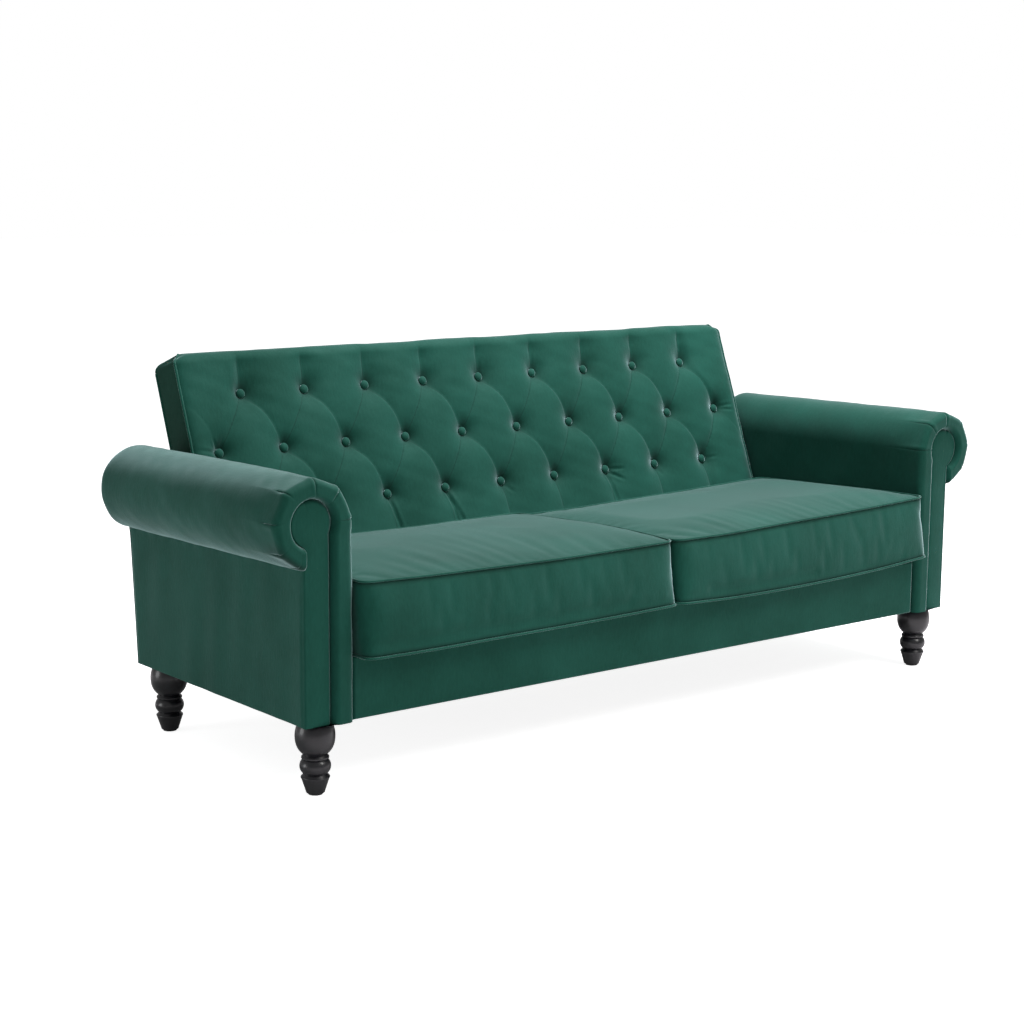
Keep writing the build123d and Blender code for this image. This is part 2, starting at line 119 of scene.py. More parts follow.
def meshPiece(name, verts, faces, material, merge=0.0, recalc=False, crease=None):
    # a smooth object from points and faces; merge joins points nearer than that, recalc turns the faces outwards
    mesh = bpy.data.meshes.new(name)
    mesh.from_pydata(np.asarray(verts, float).tolist(), [], np.asarray(faces).tolist())
    if crease is not None:
        mark(mesh, "crease", crease)
    if merge or recalc:
        work = bmesh.new()
        work.from_mesh(mesh)
        if merge:
            bmesh.ops.remove_doubles(work, verts=work.verts, dist=merge)
        if recalc:
            bmesh.ops.recalc_face_normals(work, faces=work.faces)
        work.to_mesh(mesh)
        work.free()
    mesh.polygons.foreach_set("use_smooth", np.ones(len(mesh.polygons), bool))
    mesh.materials.append(material)
    mesh.update()
    piece = bpy.data.objects.new(name, mesh)
    bpy.context.scene.collection.objects.link(piece)
    return piece


def patches(name, grids, material, merge=1e-5, recalc=False):
    # one mesh from several grids of points, each with its wrap and flip choices and perhaps its crease numbers, which
    # mark painted shade
    verts, faces, creases, count = [], [], [], 0
    for points, options in grids:
        n, m = points.shape[:2]
        choices = {key: value for key, value in options.items() if key != "crease"}
        verts.append(points.reshape(-1, 3))
        faces.append(gridFaces(n, m, start=count, **choices))
        creases.append(np.broadcast_to(options.get("crease", 0.0), (n, m)).ravel())
        count += n * m
    verts, faces, creases = (np.concatenate(part) for part in (verts, faces, creases))
    return meshPiece(name, verts, faces, material, merge, recalc, creases)


def normalsOf(points, wrapU=False):
    # unit normals of a grid of points: the cross product of its two slopes
    along = np.roll(points, -1, 0) - np.roll(points, 1, 0) if wrapU else np.gradient(points, axis=0)
    across = np.cross(along, np.gradient(points, axis=1))
    return across / np.maximum(np.linalg.norm(across, axis=2, keepdims=True), 1e-12)


def raised(points, height, inside):
    # every point moved by its height along its normal, away from a place inside the piece
    normals = normalsOf(points)
    outwards = 1 if np.sum(normals * (points - np.asarray(inside))) > 0 else -1
    return points + outwards * normals * height[..., None]


def shell(points, inside, side=1, wrapU=False):
    # a grid with its faces turned away from a place inside it, mirrored to the -X side where side is -1
    turned = np.sum(normalsOf(points, wrapU) * (points - np.asarray(inside))) < 0
    return points * np.array([side, 1, 1]), dict(wrapU=wrapU, flip=bool(turned) != (side < 0))


def settle(body, *pieces):
    # the velvet pieces that move with one body
    for piece in pieces:
        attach(piece, body)


def tubeAlong(path, radius, sides=8, closed=True):
    # a round cord: circles square to the path's direction at each of its points
    ahead = np.roll(path, -1, 0) - np.roll(path, 1, 0)
    if not closed:
        ahead[0], ahead[-1] = path[1] - path[0], path[-1] - path[-2]
    ahead /= np.linalg.norm(ahead, axis=1)[:, None]
    rough = np.where(np.abs(ahead[:, 2:3]) > 0.9, np.array([[1.0, 0, 0]]), np.array([[0, 0, 1.0]]))
    across = np.cross(ahead, rough)
    across /= np.linalg.norm(across, axis=1)[:, None]
    up = np.cross(across, ahead)
    turn = np.linspace(0, 2 * np.pi, sides, endpoint=False)[None, :, None]
    return path[:, None] + radius * (across[:, None] * np.cos(turn) + up[:, None] * np.sin(turn))


# places that several pieces share, from the frame
armLow, armHigh = nodeBox("right_arm_pad")
facingLow, facingHigh = nodeBox("right_arm_facing")
frontY = facingLow[1]  # the arms' front faces
floorGap = armLow[2]  # underside of the upholstery
joints = frame["record"]["behaviour"]["joints"]
hinge = np.array(next(joint["pos_m"] for joint in joints if joint["name"] == "back_fold"))


def makeCamera():
    # turn: degrees from +Y towards +X; dip: below level; roll: about its own line of sight
    view = dict(x=-3.1132, y=frontY - 3.3377, z=1.2604, turn=38.59, dip=9.52, roll=0.42, lens=71.47)
    turn, dip, roll = (np.radians(view[key]) for key in ("turn", "dip", "roll"))
    ahead = np.array([np.sin(turn) * np.cos(dip), np.cos(turn) * np.cos(dip), -np.sin(dip)])
    right = np.array([np.cos(turn), -np.sin(turn), 0])
    above = np.cross(right, ahead)
    tilted = right * np.cos(roll) + above * np.sin(roll)
    upward = -right * np.sin(roll) + above * np.cos(roll)
    data = bpy.data.cameras.new("camera")
    data.lens, data.sensor_width, data.clip_end = view["lens"], 36, 60
    camera = bpy.data.objects.new("camera", data)
    axes = np.column_stack([tilted, upward, -ahead])
    camera.matrix_world = Matrix.Translation((view["x"], view["y"], view["z"])) @ Matrix(axes.tolist()).to_4x4()
    bpy.context.scene.collection.objects.link(camera)
    bpy.context.scene.camera = camera


def areaLight(name, place, target, size, power, colour):
    # a round soft light at one place, turned to face another
    data = bpy.data.lights.new(name, "AREA")
    data.shape, data.size, data.energy, data.color = "DISK", size, power, colour
    lamp = bpy.data.objects.new(name, data)
    away = Vector(place) - Vector(target)
    lamp.matrix_world = Matrix.Translation(place) @ away.to_track_quat("Z", "Y").to_matrix().to_4x4()
    bpy.context.scene.collection.objects.link(lamp)


def makeStudio(ground):
    # three soft lights, a pale floor, and a room that is whiter to the camera than to the sofa
    lights = dict(key=92, top=186, left=27, room=0.36)  # watts, and the room's own brightness
    areaLight("keyLight", (1.5, -3.9, 4.0), (0.2, 0, 0.4), 2.0, lights["key"], (1, 0.99, 0.97))
    areaLight("topLight", (1.1, -0.5, 3.6), (0.1, 0, 0.4), 1.8, lights["top"], (1, 0.93, 0.99))
    areaLight("leftLight", (-4.0, 1.2, 0.6), (-1.0, 0.1, 0.35), 1.6, lights["left"], (0.97, 0.99, 1))
    world = bpy.data.worlds.new("studio")
    world.use_nodes = True
    tree = world.node_tree
    seen = addNode(tree, "LightPath").outputs["Is Camera Ray"]
    level = addNode(tree, "MapRange", {"Value": seen, "To Min": lights["room"], "To Max": 1.0})
    feed(tree, tree.nodes["Background"], {"Color": (1, 1, 1, 1), "Strength": level.outputs["Result"]})
    bpy.context.scene.world = world
    bpy.context.scene.view_settings.view_transform = "Standard"
    reach = 30
    corners = [(-reach, -reach, 0), (reach, -reach, 0), (reach, reach, 0), (-reach, reach, 0)]
    floor = meshPiece("floor", corners, [(0, 1, 2, 3)], ground)


def feed(tree, node, inputs):
    # inputs by name or number: each gets a value, or a link from the socket that is given
    for key, value in inputs.items():
        if isinstance(value, bpy.types.NodeSocket):
            tree.links.new(value, node.inputs[key])
        else:
            node.inputs[key].default_value = value


def addNode(tree, kind, inputs={}, **settings):
    # a shader node of a kind, with its settings and then its inputs
    node = tree.nodes.new("ShaderNode" + kind)
    for key, value in settings.items():
        setattr(node, key, value)
    feed(tree, node, inputs)
    return node


def worked(tree, operation, *values):
    # the result of one sum on numbers or sockets
    return addNode(tree, "Math", dict(enumerate(values)), operation=operation).outputs[0]


def objectCoords(tree, stretch=(1, 1, 1)):
    # places on the object in metres, each direction times its stretch
    coords = addNode(tree, "TexCoord").outputs["Object"]
    return addNode(tree, "Mapping", {"Vector": coords, "Scale": stretch}).outputs["Vector"]


def noise(tree, coords, scale, detail, rough):
    # soft noise between 0 and 1, about scale lumps to a metre
    inputs = {"Vector": coords, "Scale": scale, "Detail": detail, "Roughness": rough}
    return addNode(tree, "TexNoise", inputs).outputs["Fac"]


def attribute(tree, name):
    # a number that the piece carries at its points
    return addNode(tree, "Attribute", attribute_name=name).outputs["Fac"]


def newMaterial(name):
    # a material, its node tree and its shader
    material = bpy.data.materials.new(name)
    material.use_nodes = True
    return material, material.node_tree, material.node_tree.nodes["Principled BSDF"]


def newGroup(name, inputs, outputs):
    # a node group: inputs by name with their values (four numbers are a colour), outputs by name with their kind
    group = bpy.data.node_groups.new(name, "ShaderNodeTree")
    for label, value in inputs.items():
        kind = "NodeSocketColor" if isinstance(value, tuple) else "NodeSocketFloat"
        group.interface.new_socket(label, in_out="INPUT", socket_type=kind).default_value = value
    for label, kind in outputs.items():
        group.interface.new_socket(label, in_out="OUTPUT", socket_type="NodeSocket" + kind)
    return group, group.nodes.new("NodeGroupInput").outputs, group.nodes.new("NodeGroupOutput")


def makePileGroup():
    # cut pile: brushed patches plus a fine nap stretched upwards give colour and roughness, nap and fibres the height
    defaults = dict(Deep=(0, 0.03, 0.02, 1), Pale=(0, 0.1, 0.07, 1), Brushing=0.5)
    group, given, out = newGroup("cutPile", defaults, dict(Color="Color", Roughness="Float", Height="Float"))
    coords = objectCoords(group)
    brushed = noise(group, coords, 5.0, 3.0, 0.55)
    nap = noise(group, objectCoords(group, (1.0, 1.0, 0.35)), 170.0, 3.0, 0.6)
    fibres = noise(group, coords, 900.0, 2.0, 0.6)
    pattern = worked(group, "MULTIPLY_ADD", nap, 0.45, brushed)
    level = addNode(group, "MapRange", {"Value": pattern, "From Min": 0.45, "From Max": 1.0}).outputs["Result"]
    share = worked(group, "MULTIPLY", level, given["Brushing"])
    mix = addNode(group, "Mix", {"Factor": share, "A": given["Deep"], "B": given["Pale"]}, data_type="RGBA")
    rough = addNode(group, "MapRange", {"Value": pattern, "To Min": 0.95, "To Max": 0.7})
    height = worked(group, "MULTIPLY_ADD", fibres, 0.5, nap)
    feed(group, out, {"Color": mix.outputs["Result"], "Roughness": rough.outputs["Result"], "Height": height})
    return group


def makeShadeMixGroup():
    # painted shade in folds, slits, dimples and under parts: the colour goes towards the dark one as the mask rises
    defaults = dict(Color=(0, 0.1, 0.07, 1), Dark=(0.0012, 0.011, 0.007, 1), Mask=0.0)
    group, given, out = newGroup("paintedShadeMix", defaults, dict(Color="Color"))
    inputs = {"Factor": given["Mask"], "A": given["Color"], "B": given["Dark"]}
    mix = addNode(group, "Mix", inputs, data_type="RGBA", clamp_factor=True)
    feed(group, out, {"Color": mix.outputs["Result"]})
    return group


def pileMaterial(name, group, deep, pale, brushing, sheen, tint):
    # velvet: the pile's colour, roughness and height under a soft sheen
    material, tree, shader = newMaterial(name)
    inputs = {"Deep": (*deep, 1), "Pale": (*pale, 1), "Brushing": brushing}
    pile = addNode(tree, "Group", inputs, node_tree=group).outputs
    bump = addNode(tree, "Bump", {"Height": pile["Height"], "Strength": 0.25, "Distance": 0.0012})
    feed(tree, shader, {
        "Base Color": pile["Color"], "Roughness": pile["Roughness"], "Normal": bump.outputs["Normal"],
        "Sheen Weight": sheen, "Sheen Roughness": 0.32, "Sheen Tint": (*tint, 1), "Specular IOR Level": 0.15,
    })
    return material


def plainMaterial(name, colour, roughness, grain, spread, depth=0.0002, stretch=(1, 1, 1), metallic=0.0, coat=0.0):
    # colour, roughness and bump broken up by one noise, stretched for grain or brushing
    material, tree, shader = newMaterial(name)
    pattern = noise(tree, objectCoords(tree, stretch), grain, 4.0, 0.6)
    ramp = addNode(tree, "ValToRGB", {"Fac": pattern})
    for stop, place, change in zip(ramp.color_ramp.elements, (0.3, 0.7), (-spread, spread)):
        stop.color = (*(min(1, part * (1 + change)) for part in colour), 1)
        stop.position = place
    rough = {"Value": pattern, "To Min": roughness * 0.85, "To Max": min(1, roughness * 1.15)}
    level = addNode(tree, "MapRange", rough)
    bump = addNode(tree, "Bump", {"Height": pattern, "Strength": 0.4, "Distance": depth})
    feed(tree, shader, {
        "Base Color": ramp.outputs["Color"], "Roughness": level.outputs["Result"], "Normal": bump.outputs["Normal"],
        "Metallic": metallic, "Coat Weight": coat, "Coat Roughness": 0.12,
    })
    return material


def floorMaterial():
    # a pale floor that is brighter to the camera than to the sofa
    material, tree, shader = newMaterial("whiteFloor")
    seen = addNode(tree, "LightPath").outputs["Is Camera Ray"]
    feed(tree, shader, {
        "Base Color": (0.8, 0.8, 0.8, 1), "Roughness": 1.0, "Specular IOR Level": 0.0,
        "Emission Color": (1, 1, 1, 1), "Emission Strength": worked(tree, "MULTIPLY", seen, 0.86),
    })
    return material


def foldedCopy(material, name, group):
    # a copy of a velvet whose colour passes through the painted shade mix, which still waits for its mask
    folded = material.copy()
    folded.name = name
    tree = folded.node_tree
    base = tree.nodes["Principled BSDF"].inputs["Base Color"]
    shade = addNode(tree, "Group", node_tree=group)
    feed(tree, shade, {"Color": base.links[0].from_socket})
    tree.links.new(shade.outputs["Color"], base)
    return folded, tree, shade


def paintedShadeMaterial(group):
    # the velvet, darkened with painted shade as the piece's own crease numbers say
    material, tree, shade = foldedCopy(velvet, "paintedShadeVelvet", group)
    feed(tree, shade, {"Mask": attribute(tree, "crease")})
    return material


# the pile's deep and pale colours, how much it is brushed, its sheen and the sheen's tint
velvets = dict(
    greenVelvet=dict(
        deep=(0.0028, 0.050, 0.033), pale=(0.0055, 0.083, 0.058), brushing=0.75, sheen=1.0, tint=(0.71, 1.0, 1.0)),
    weltVelvet=dict(
        deep=(0.004, 0.056, 0.038), pale=(0.009, 0.09, 0.063), brushing=0.8, sheen=1.0, tint=(0.78, 1.0, 1.0)),
    # a darker copy of the green velvet with little sheen: painted shade on the back's side borders
    shadedVelvet=dict(
        deep=(0.0008, 0.024, 0.014), pale=(0.0014, 0.040, 0.025), brushing=0.8, sheen=0.08, tint=(0.3, 1.0, 0.85)),
)
pileGroup = makePileGroup()
shadeMixGroup = makeShadeMixGroup()
velvet, welting, shadedVelvet = (pileMaterial(name, pileGroup, **values) for name, values in velvets.items())
paintedShadeVelvet = paintedShadeMaterial(shadeMixGroup)
finishes = dict(  # of the frame's own pieces, by the record's slots
    velvet=velvet,
    leg_black=plainMaterial("blackLacquer", (0.0065, 0.0066, 0.009), 0.34, 14, 0.35, 0.0001, (3, 3, 0.6), coat=0.22),
    frame_wood=plainMaterial("softwood", (0.52, 0.36, 0.2), 0.7, 26, 0.3, stretch=(0.3, 4, 4)),
    steel=plainMaterial("zincSteel", (0.5, 0.51, 0.53), 0.38, 90, 0.15, stretch=(1, 1, 4), metallic=1.0),
    nylon=plainMaterial("blackNylon", (0.03, 0.03, 0.03), 0.55, 300, 0.2),
    felt=plainMaterial("greyFelt", (0.28, 0.27, 0.26), 0.95, 420, 0.45, 0.0008),
    dust_cover=plainMaterial("blackSheet", (0.018, 0.018, 0.019), 0.85, 600, 0.5, 0.0004),
    webbing=plainMaterial("juteWeb", (0.42, 0.32, 0.2), 0.9, 500, 0.4, 0.0006),
)
print("materials made")

makeCamera()
makeStudio(floorMaterial())
print("camera and lights placed")


arm = dict(
    pleats=(178, 133, 91, 48, 5, -37, -69),  # degrees round the roll, from its inner side over the top
    edgeRound=0.017, rimRound=0.029, seamRound=0.004, groove=0.009, seamAngle=-78, length=0.72, lean=4.4,
    facingWidth=0.064,  # of its straight part, below the scroll
    crease=0.0034, creaseWidth=0.0022, fade=0.05, flat=0.8, seamHeight=0.253, ripple=0.0008,
    slit=0.0042, slitWidth=0.0016, slitFrom=0.010, slitLong=0.011, underShade=0.75,
)
rollRadius = (armHigh[0] - armLow[0]) / 2
rollX, rollZ = (armHigh[0] + armLow[0]) / 2, nodeBox("right_arm_front_band")[1][2] - rollRadius
scrollRadius = (facingHigh[0] - facingLow[0]) / 2
innerX, outerX = armLow[0], nodeBox("right_arm_side_panel")[1][0]
bandY = nodeBox("right_arm_front_band")[0][1]
endHigh = nodeBox("right_arm_end_panel")[1]
seamAngle = np.radians(arm["seamAngle"])  # where the cover ends under the roll
rollFall = (rollZ + rollRadius - endHigh[2]) / (endHigh[1] - frontY)  # of the roll's line, per metre to the rear


def rearY(z):
    # the arms' rear face, which leans back as it rises
    return endHigh[1] - (endHigh[2] - z) * np.tan(np.radians(arm["lean"]))


def upright(z):
    # 0 at the foot of the arm, easing to 1 at the roll's centre
    return smooth((z - floorGap) / (rollZ - floorGap))


def pleatAngles():
    # even angles round the roll with closer ones beside each pleat, set out in millimetres
    beside = np.array([-9, -6, -4, -2.6, -1.3, 0, 1.3, 2.6, 4, 6, 9]) / (1000 * rollRadius)
    angles = [np.linspace(np.pi, seamAngle, 110), (np.radians(arm["pleats"])[:, None] + beside).ravel()]
    angles = np.concatenate(angles)
    return np.unique(angles[(angles <= np.pi) & (angles >= seamAngle)])[::-1]


def armOutline():
    # the band's outer line (inner face and roll) and inner line (round the facing), point for point, as x and z:
    # straight up, then round a circle; around is each point's angle on the roll
    heights = np.concatenate([np.linspace(floorGap, rollZ - 0.03, 46), np.linspace(rollZ - 0.025, rollZ - 0.004, 6)])
    angles = pleatAngles()

    def line(foot, radius, turn):
        circle = pointsAt(rollX + radius * np.cos(turn), rollZ + radius * np.sin(turn))
        return np.concatenate([pointsAt(foot, heights), circle])

    stripX = outerX - arm["facingWidth"]
    chord = np.sqrt(np.clip(scrollRadius**2 - (heights - rollZ) ** 2, 0, None))
    strip = np.minimum(stripX, np.where(heights > rollZ - scrollRadius, rollX - chord, stripX))
    last = -np.arccos((outerX - rollX) / scrollRadius)  # where the scroll meets the arm's outer side
    turned = np.pi + (angles - np.pi) * (last - np.pi) / (angles[-1] - np.pi)
    around = np.concatenate([np.full(len(heights), np.pi), angles])
    return line(innerX, rollRadius, angles), line(strip, scrollRadius, turned), around


def pleatHeight(around):
    # chord flats between neighbouring pleats, a sharp crease with a small puff beside it at each, and short slits
    # at the outer ones; in metres at the roll's edge
    pleats = np.sort(np.radians(arm["pleats"]))
    index = np.clip(np.searchsorted(pleats, around) - 1, 0, len(pleats) - 2)
    middle, half = (pleats[index] + pleats[index + 1]) / 2, (pleats[index + 1] - pleats[index]) / 2
    within = (around >= pleats[0]) & (around <= pleats[-1])
    flat = np.where(within, rollRadius * (np.cos(half) / np.cos(np.where(within, around - middle, 0)) - 1), 0)
    away = (around[:, None] - pleats[None, :]) * rollRadius
    outer = np.abs(pleats) < np.radians(60)
    slit = np.exp(-np.abs(away[:, outer]) / arm["slitWidth"]).sum(1)
    puff = 0.0012 * bell(away + 0.007, 0.006)
    fold = (-arm["crease"] * np.exp(-np.abs(away) / arm["creaseWidth"]) + puff).sum(1)
    return arm["flat"] * flat, fold, slit


def rearRim(around, z):
    # how far the rear rim is rounded: fully on the roll, hardly at its seam and down the inner face
    onRoll = smooth((around - seamAngle) / np.radians(60))
    onRoll = onRoll * np.where(around > np.pi - 1e-3, smooth((z - 0.44) / 0.09), 1)
    return arm["seamRound"] + (arm["rimRound"] - arm["seamRound"]) * onRoll


def armCover(name, side, seed):
    # rows run round the roll, columns from front to rear: the band between its two lines, quarter circles at its edge
    # and at the rear rim, the roll straight between; then folds, slits and waves along the normals
    outer, inner, around = armOutline()
    flat, fold, slit = (values[:, None] for values in pleatHeight(around))
    proud, groove = bandY - frontY, arm["groove"]
    rise = np.radians(np.linspace(0, 90, 9))  # up out of the groove, and again round the edge onto the roll
    share = np.concatenate([0.26 * (1 - np.cos(rise)), np.linspace(0.32, 0.60, 5), 0.64 + 0.36 * np.sin(rise)])
    edge = [groove + (proud - groove) * np.sin(rise), np.full(5, proud), proud + arm["edgeRound"] * (1 - np.cos(rise))]
    depth = frontY + np.concatenate(edge)
    frontLine = between(inner, outer, share)
    front = pointsAt(frontLine[..., 0], depth, frontLine[..., 1])
    radial = pointsAt(np.cos(around), np.sin(around))[:, None]
    rim = rearRim(around, outer[:, 1])[:, None]
    start, far = depth[-1], rearY(outer[:, 1])[:, None] - 0.003 - rim
    steps = np.concatenate([np.arange(0.006, 0.11, 0.004) / arm["length"], np.linspace(0.165, 1, 44)])
    turn = np.radians(np.linspace(0, 90, 11)[1:])
    y = np.concatenate([start + steps * (far - start), far + rim * np.sin(turn)], axis=1)
    inset = np.concatenate([0 * y[:, : len(steps)], rim * (1 - np.cos(turn))], axis=1)
    line = outer[:, None] - radial * inset[..., None]
    drop = rollFall * np.clip(y - frontY, 0, None) * upright(outer[:, 1])[:, None]
    points = np.concatenate([front, pointsAt(line[..., 0], y, line[..., 1] - drop)], axis=1)

    # pleats: full length on the inner side, only near the edge on the outer side, gone a hand's breadth along the roll
    run = np.concatenate([steps * arm["length"], np.full(len(turn), arm["length"])])  # from the edge, along the roll
    behindEdge = np.concatenate([0.035 * (share - 1), run])
    outerSide = smooth((np.radians(80) - around) / np.radians(30))[:, None]
    onRoll = np.exp(-((run / (arm["fade"] * (1 - 0.45 * outerSide))) ** 1.4))
    strength = np.concatenate([share ** (1.0 + 3.5 * outerSide), onRoll], axis=1)
    points[..., ::2] += radial * (flat * np.concatenate([share**2, bell(run, 0.075)]))[..., None]
    girth, y = lengthAlong(outer)[:, None], points[..., 1]
    wave = arm["ripple"] * (ripple(girth, y, 0.13, seed) + 0.35 * ripple(girth, y, 0.045, seed + 1))
    wave = wave * np.minimum(1, 3 * np.concatenate([share, np.ones(len(run))]))
    seam = -0.0014 * bell(points[..., 2] - arm["seamHeight"], 0.0020) * (around > np.pi - 1e-3)[:, None]
    seam = seam * np.concatenate([np.ones(len(share)), np.exp(-run / 0.05)])
    slits = slit * bell(behindEdge - arm["slitFrom"], arm["slitLong"])
    height = fold * strength + wave + seam - arm["slit"] * slits

    # shade: in the folds and slits, and under the front end of the roll
    folds = np.clip(-fold / arm["crease"], 0, 1) * strength * 0.55
    below = smooth((np.radians(-8) - around) / np.radians(40))[:, None] * bell(np.clip(behindEdge, 0, None), 0.06)
    below = below * smooth((behindEdge + 0.012) / 0.012)
    crease = np.clip(np.max([folds, slits * 0.9, arm["underShade"] * below], axis=0), 0, 1)
    points = raised(points, height, (rollX, 0, 0.45))
    last = points[-1:].copy()  # the band's lower end turns in behind itself
    last[..., 0] = outerX - 0.0005
    last[..., 1] = np.maximum(last[..., 1], frontY + 0.012)
    foot = np.stack([points[0], points[0]], 1)  # a strip closes the underside
    foot[:, 1, 0] = outerX - 0.001
    foot[:, 1, 1] = np.maximum(foot[:, 1, 1], frontY + 0.002)
    foot[:, :, 2] = floorGap + 0.0008
    body, choices = shell(np.concatenate([points, last]), (rollX, 0, 0.45), side)
    choices["crease"] = np.concatenate([crease, crease[-1:]])
    return patches(f"{name}ArmCover", [(body, choices), shell(foot, (rollX, 0, 0.3), side)], paintedShadeVelvet)


def downOuterSide(line, count):
    # an outline carried straight down the arm's outer side
    return np.concatenate([line, pointsAt(outerX, np.linspace(line[-1, 1] - 0.004, floorGap, count))])


def spineOf(outline, middle, top, reach):
    # the line that a panel's rings close on: up its middle, easing over to the roll's centre
    mix = smooth((outline[:, 1] - (top - reach)) / reach)
    return pointsAt(middle + (rollX - middle) * mix, np.clip(outline[:, 1], floorGap, top))


def armFacing(name, side, seed):
    # rings from the facing's outline in to its spine, rising out of the groove as 1 less e to a falling power
    outline = downOuterSide(armOutline()[1], 60)
    share = np.array([0, 0.015, 0.05, 0.1, 0.17, 0.26, 0.38, 0.52, 0.7, 0.85, 1.0])
    flat = between(outline, spineOf(outline, outerX - arm["facingWidth"] / 2, rollZ, 0.09), share)
    x, z = flat[..., 0], flat[..., 1]
    lift = arm["groove"] * (1 - np.exp(-share * 11)) + 0.0012 * np.sin(share * np.pi / 2)
    lift = lift + 0.0004 * ripple(x, z, 0.07, seed)
    onEdge = (outline[:, 0] > outerX - 1e-6)[:, None] & (share > 0.01)  # there the panel fills the groove at once
    lift = np.where(onEdge, np.maximum(lift, arm["groove"] * (1 - np.exp(-share * 60))), lift)
    points = pointsAt(x, frontY + arm["groove"] - lift, z)
    return patches(f"{name}ArmFacing", [shell(points, (rollX, 0.2, 0.4), side)], velvet)


def armSide(name, side, seed):
    # a flat panel that bulges by the root of a sine up its height, with small tucks where it is drawn up under the roll
    u = closeSteps(110, (0, 0.03, 10), (0.97, 1, 10))[:, None]
    v = closeSteps(70, (0.9, 1, 30), (0, 0.04, 8))[None, :]
    top = rollZ - rollRadius * np.sin(-seamAngle) + 0.006
    level = floorGap + v * (top - floorGap)
    start, end = frontY + 0.003, rearY(level) - 0.001
    y = start + u * (end - start)
    z = level - rollFall * (y - frontY) * v**3
    edge = smooth(u / 0.02) * smooth((1 - u) / 0.02)
    bulge = 0.0022 * edge * np.sin(np.pi * v) ** 0.5 + 0.0009 * edge * ripple(y, z * 0.35, 0.10, seed)
    spacing = np.abs(np.sin(np.pi * (y + 0.006 * ripple(y, y, 0.2, seed + 3)) / 0.052)) ** 0.6
    tucks = 0.0022 * np.exp(-(((1 - v) / 0.035) ** 1.2)) * spacing
    x = outerX + 0.0002 + bulge * (1 - v**8) - 0.003 * smooth((v - 0.985) / 0.015) + tucks - 0.0014
    x = x - 0.0018 * bell(u * (end - start), 0.004)
    return patches(f"{name}ArmSide", [shell(pointsAt(x, y, z), (rollX - 0.05, 0, 0.3), side)], velvet)


def armEnd(name, side, seed):
    # rings from the arm's rear outline, drawn in by its rim and lowered by the roll's fall, in to its spine
    outer, around = armOutline()[::2]
    outline = downOuterSide(outer, 40)
    angle = np.concatenate([around, np.full(40, seamAngle)])
    rim = rearRim(angle, outline[:, 1]) - 0.0015
    outline = outline - pointsAt(np.cos(angle), np.sin(angle)) * rim[:, None]
    fall = rollFall * (endHigh[1] - frontY)
    outline[:, 1] -= fall * upright(outline[:, 1])
    share = np.array([0, 0.01, 0.03, 0.06, 0.1, 0.16, 0.25, 0.4, 0.6, 0.8, 1.0])
    flat = between(outline, spineOf(outline, (innerX + outerX) / 2, rollZ - fall, 0.14), share)
    x, z = flat[..., 0], flat[..., 1]
    y = rearY(z) - 0.006 + (0.006 * (1 - np.exp(-share * 22)) - 0.001 * share)
    y = y + 0.0006 * ripple(x, z, 0.09, seed) * np.sin(np.pi * share / 2)
    return patches(f"{name}ArmEnd", [shell(pointsAt(x, y, z), (rollX, 0, 0.4), side)], velvet)


for name, side, seed in (("left", -1, 11), ("right", 1, 47)):
    cover = armCover(name, side, seed)
    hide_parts(f"{name}_arm_pad", f"{name}_arm_front_band")
    facing = armFacing(name, side, seed)
    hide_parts(f"{name}_arm_facing")
    sidePanel = armSide(name, side, seed)
    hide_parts(f"{name}_arm_side_panel")
    endPanel = armEnd(name, side, seed)
    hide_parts(f"{name}_arm_end_panel")
    settle("base", cover, facing, sidePanel, endPanel)
print("arms made")


back = dict(  # depths and heights are counted from the hinge line, before the back is leant
    recline=20.5, front=-0.057, edge=-0.045, rear=0.047, bottom=-0.022, top=0.475, halfWidth=0.8525,
    cell=0.0034, topRound=0.030, rearRound=0.014, footRound=0.012, corner=0.026,
    pitch=0.0865, rows=0.1355, firstRow=0.371,  # half a step between buttons, rows, and the top row's height
    dimple=0.0190, dimpleFlat=0.0085, dimpleReach=0.0145, valley=0.0080, pleats=0.8, bow=0.07, skew=1.45,
    # lineDark and pocketDark: how far the painted shade darkens the crease lines and round the buttons
    piping=0.0031, hingeTop=0.085, lineWidth=0.024, lineDark=0.65, pocketDark=0.72,
)


def reclined(points):
    # from the back's own depth and height to where it stands at rest: turned by the recline about the hinge line
    lean = np.radians(back["recline"])
    x, y, z = points[..., 0], points[..., 1], points[..., 2]
    return pointsAt(x, hinge[1] + y * np.cos(lean) + z * np.sin(lean), hinge[2] - y * np.sin(lean) + z * np.cos(lean))


backCentre = reclined(np.array([0, 0, 0.2]))


